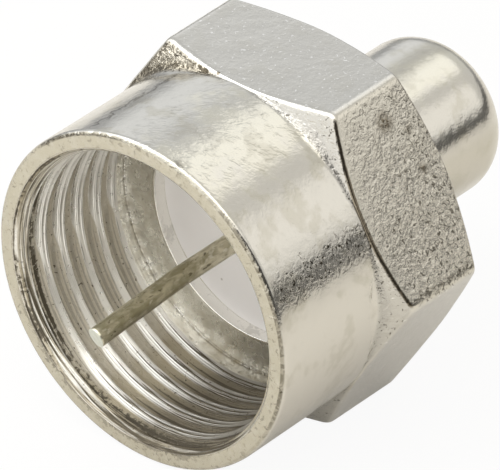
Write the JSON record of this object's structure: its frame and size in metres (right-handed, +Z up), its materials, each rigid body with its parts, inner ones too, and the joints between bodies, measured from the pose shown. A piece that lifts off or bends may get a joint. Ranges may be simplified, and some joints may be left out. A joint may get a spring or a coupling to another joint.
{
  "type": "coaxial terminator",
  "caption": "Nickel-plated screw-on coaxial terminator: round threaded collar, hexagon and domed housing cast in one, with a bare centre pin from the resistor sealed inside.",
  "frame": {"origin": "centre of the mouth, on the socket's axis in the plane of the rim", "axes": "+Y along the axis from the mouth to the domed end, +Z up out of the upper flat of the hexagon, -Z through the flat it lies on"},
  "size_m": [0.0124, 0.0165, 0.0108],
  "materials": {
    "nickel_plate": "bright nickel plate over a rough zinc casting, pitted and a little tarnished",
    "insulator_plastic": "smooth satin",
    "tinned_wire": "dull tinned copper, tarnished",
    "film_ceramic": "matt ceramic",
    "cap_metal": "plain pressed steel",
    "coating_lacquer": "dipped lacquer"
  },
  "bodies": {
    "root": {"connector_body": "nickel_plate", "insulator": "insulator_plastic", "centre_pin": "tinned_wire", "ceramic_core": "film_ceramic", "front_end_cap": "cap_metal", "rear_end_cap": "cap_metal", "resistor_coating": "coating_lacquer", "rear_lead": "tinned_wire"}
  },
  "joints": []
}
